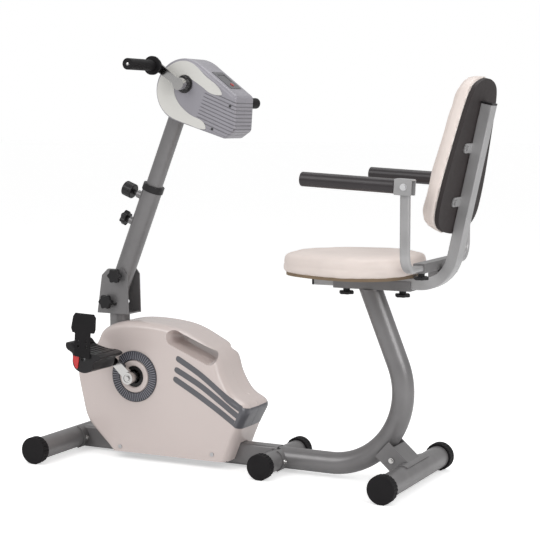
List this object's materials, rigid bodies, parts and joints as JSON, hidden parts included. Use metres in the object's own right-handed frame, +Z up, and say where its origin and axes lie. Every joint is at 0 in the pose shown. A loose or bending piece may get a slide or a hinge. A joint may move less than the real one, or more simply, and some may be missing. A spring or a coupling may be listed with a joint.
{
  "type": "recumbent exercise bike",
  "caption": "Recumbent exercise bike with a padded seat and backrest, lift-up armrests, a closed belt drive, a tilting telescopic mast and an upper hand crank.",
  "frame": {"origin": "on the floor, on the middle plane, halfway between the front foot and the top of the back tube", "axes": "+X from the front foot towards the backrest, +Y across to the far side (the belt side), +Z up"},
  "size_m": [1.2573, 0.492, 1.1069],
  "materials": {
    "frame_grey": "satin grey powder coat",
    "black_paint": "satin black paint",
    "bare_steel": "brushed, lightly oiled",
    "chrome": "bright plated",
    "cast_wheel": "machined rim",
    "black_rubber": "moulded, matt",
    "grip_foam": "closed-cell foam, matt",
    "cream_plastic": "moulded, half gloss",
    "ivory_plastic": "moulded, half gloss",
    "grey_plastic": "moulded, fine grain",
    "black_plastic": "moulded, fine grain",
    "plywood": "bare plywood",
    "cream_vinyl": "soft vinyl cover"
  },
  "bodies": {
    "frame": {"main_rail": "frame_grey", "mast_post": "frame_grey", "stabiliser_tubes": "frame_grey", "stabiliser_end_caps": "black_rubber", "stabiliser_bolts": "chrome", "seat_post_tube": "frame_grey", "rear_bracket": "frame_grey", "seat_channel": "frame_grey", "left_shell": "cream_plastic", "right_shell": "cream_plastic", "hub_covers": "black_plastic", "shell_screws": "bare_steel", "bottom_bracket": "frame_grey", "bottom_bracket_bearings": "bare_steel", "drive_belt": "black_rubber", "flywheel_mount": "black_paint"},
    "crank": {"crank_axle": "bare_steel", "drive_pulley": "black_plastic", "crank_arms": "chrome", "pedal_spindles": "bare_steel"},
    "left_pedal_set": {"left_pedal": "black_plastic", "left_pedal_strap": "black_rubber"},
    "right_pedal_set": {"right_pedal": "black_plastic", "right_pedal_strap": "black_rubber"},
    "flywheel_set": {"flywheel": "cast_wheel"},
    "brake": {"brake_arm": "bare_steel"},
    "mast_lower": {"mast_outer_tube": "frame_grey", "mast_collar": "black_plastic"},
    "tilt_pivot": {"tilt_pivot_knob": "black_plastic"},
    "tilt_lock": {"tilt_lock_knob": "black_plastic"},
    "height_pin": {"height_pin_knob": "black_plastic"},
    "height_clamp": {"height_clamp_knob": "black_plastic"},
    "mast_upper": {"mast_inner_tube": "frame_grey", "head_left_shell": "grey_plastic", "head_right_shell": "grey_plastic", "head_side_panels": "ivory_plastic", "head_screws": "black_paint", "display_panel": "black_plastic"},
    "mode_button": {"display_button": "grey_plastic"},
    "hand_crank": {"hand_crank_axle": "bare_steel", "hand_crank_arms": "chrome"},
    "left_hand_grip": {"left_grip": "black_rubber"},
    "right_hand_grip": {"right_grip": "black_rubber"},
    "seat": {"seat_frame_tube": "frame_grey", "seat_frame_plugs": "black_plastic", "seat_base": "plywood", "seat_pad": "cream_vinyl", "backrest_base": "black_plastic", "backrest_pad": "cream_vinyl", "armrest_cross_tube": "frame_grey"},
    "seat_front_clamp": {"seat_front_knob": "black_plastic"},
    "seat_rear_clamp": {"seat_rear_knob": "black_plastic"},
    "left_post": {"left_armrest_post": "frame_grey"},
    "right_post": {"right_armrest_post": "frame_grey"},
    "left_armrest": {"left_armrest_bar": "frame_grey", "left_armrest_foam": "grip_foam"},
    "right_armrest": {"right_armrest_bar": "frame_grey", "right_armrest_foam": "grip_foam"},
    "left_post_clamp": {"left_armrest_knob": "black_plastic"},
    "right_post_clamp": {"right_armrest_knob": "black_plastic"}
  },
  "joints": [
    {"name": "crank_spin", "type": "hinge", "parent": "frame", "child": "crank", "pos_m": [-0.369, 0, 0.235], "axis": [0, 1, 0], "continuous": true},
    {"name": "left_pedal_spin", "type": "hinge", "parent": "crank", "child": "left_pedal_set", "pos_m": [-0.43938, -0.17, 0.29881], "axis": [0, 1, 0], "continuous": true},
    {"name": "right_pedal_spin", "type": "hinge", "parent": "crank", "child": "right_pedal_set", "pos_m": [-0.29862, 0.17, 0.17119], "axis": [0, 1, 0], "continuous": true},
    {"name": "flywheel_spin", "type": "hinge", "parent": "frame", "child": "flywheel_set", "pos_m": [-0.186, 0, 0.16], "axis": [0, 1, 0], "continuous": true},
    {"name": "brake_swing", "type": "hinge", "parent": "frame", "child": "brake", "pos_m": [-0.094, 0, 0.092], "axis": [0, 1, 0], "range_deg": [0, 8]},
    {"name": "mast_tilt", "type": "hinge", "parent": "frame", "child": "mast_lower", "pos_m": [-0.448, 0, 0.507], "axis": [0, 1, 0], "range_deg": [-15, 8]},
    {"name": "tilt_pivot_turn", "type": "hinge", "parent": "frame", "child": "tilt_pivot", "pos_m": [-0.448, -0.045, 0.507], "axis": [0, 1, 0], "range_deg": [-20, 90]},
    {"name": "tilt_lock_turn", "type": "hinge", "parent": "mast_lower", "child": "tilt_lock", "pos_m": [-0.47784, -0.045, 0.43277], "axis": [0, 1, 0], "range_deg": [-20, 90]},
    {"name": "height_pin_pull", "type": "slide", "parent": "mast_lower", "child": "height_pin", "axis": [-0.9278, 0, 0.373], "range_m": [0, 0.008], "stiffness_N_per_m": 700, "springref_m": -0.002},
    {"name": "height_clamp_turn", "type": "hinge", "parent": "mast_lower", "child": "height_clamp", "pos_m": [-0.44735, 0, 0.66948], "axis": [-0.9278, 0, 0.373], "range_deg": [-20, 90]},
    {"name": "mast_height", "type": "slide", "parent": "mast_lower", "child": "mast_upper", "axis": [0.373, 0, 0.9278], "range_m": [-0.075, 0.05]},
    {"name": "mode_button_press", "type": "slide", "parent": "mast_upper", "child": "mode_button", "axis": [-0.6091, 0, -0.7931], "range_m": [0, 0.0015], "stiffness_N_per_m": 900, "springref_m": -0.0005},
    {"name": "hand_crank_spin", "type": "hinge", "parent": "mast_upper", "child": "hand_crank", "pos_m": [-0.21813, 0, 1.03324], "axis": [0, 1, 0], "continuous": true},
    {"name": "left_grip_spin", "type": "hinge", "parent": "hand_crank", "child": "left_hand_grip", "pos_m": [-0.28785, -0.16, 1.08187], "axis": [0, 1, 0], "continuous": true},
    {"name": "right_grip_spin", "type": "hinge", "parent": "hand_crank", "child": "right_hand_grip", "pos_m": [-0.14842, 0.16, 0.9846], "axis": [0, 1, 0], "continuous": true},
    {"name": "seat_slide", "type": "slide", "parent": "frame", "child": "seat", "axis": [1, 0, 0], "range_m": [-0.05, 0.04]},
    {"name": "seat_front_clamp_turn", "type": "hinge", "parent": "frame", "child": "seat_front_clamp", "pos_m": [0.234, 0, 0.495], "axis": [0, 0, 1], "range_deg": [-20, 90]},
    {"name": "seat_rear_clamp_turn", "type": "hinge", "parent": "frame", "child": "seat_rear_clamp", "pos_m": [0.39, 0, 0.495], "axis": [0, 0, 1], "range_deg": [-20, 90]},
    {"name": "left_post_slide", "type": "slide", "parent": "seat", "child": "left_post", "axis": [0, 1, 0], "range_m": [-0.04, 0.018]},
    {"name": "right_post_slide", "type": "slide", "parent": "seat", "child": "right_post", "axis": [0, 1, 0], "range_m": [-0.018, 0.04]},
    {"name": "left_armrest_lift", "type": "hinge", "parent": "left_post", "child": "left_armrest", "pos_m": [0.48, -0.216, 0.779], "axis": [0, 1, 0], "range_deg": [0, 95]},
    {"name": "right_armrest_lift", "type": "hinge", "parent": "right_post", "child": "right_armrest", "pos_m": [0.48, 0.216, 0.779], "axis": [0, 1, 0], "range_deg": [0, 95]},
    {"name": "left_post_clamp_turn", "type": "hinge", "parent": "seat", "child": "left_post_clamp", "pos_m": [0.48, -0.105, 0.555], "axis": [0, 0, 1], "range_deg": [-20, 90]},
    {"name": "right_post_clamp_turn", "type": "hinge", "parent": "seat", "child": "right_post_clamp", "pos_m": [0.48, 0.105, 0.555], "axis": [0, 0, 1], "range_deg": [-20, 90]}
  ],
  "couplings": [
    {"joint": "flywheel_spin", "follows": "crank_spin", "ratio": 4}
  ]
}
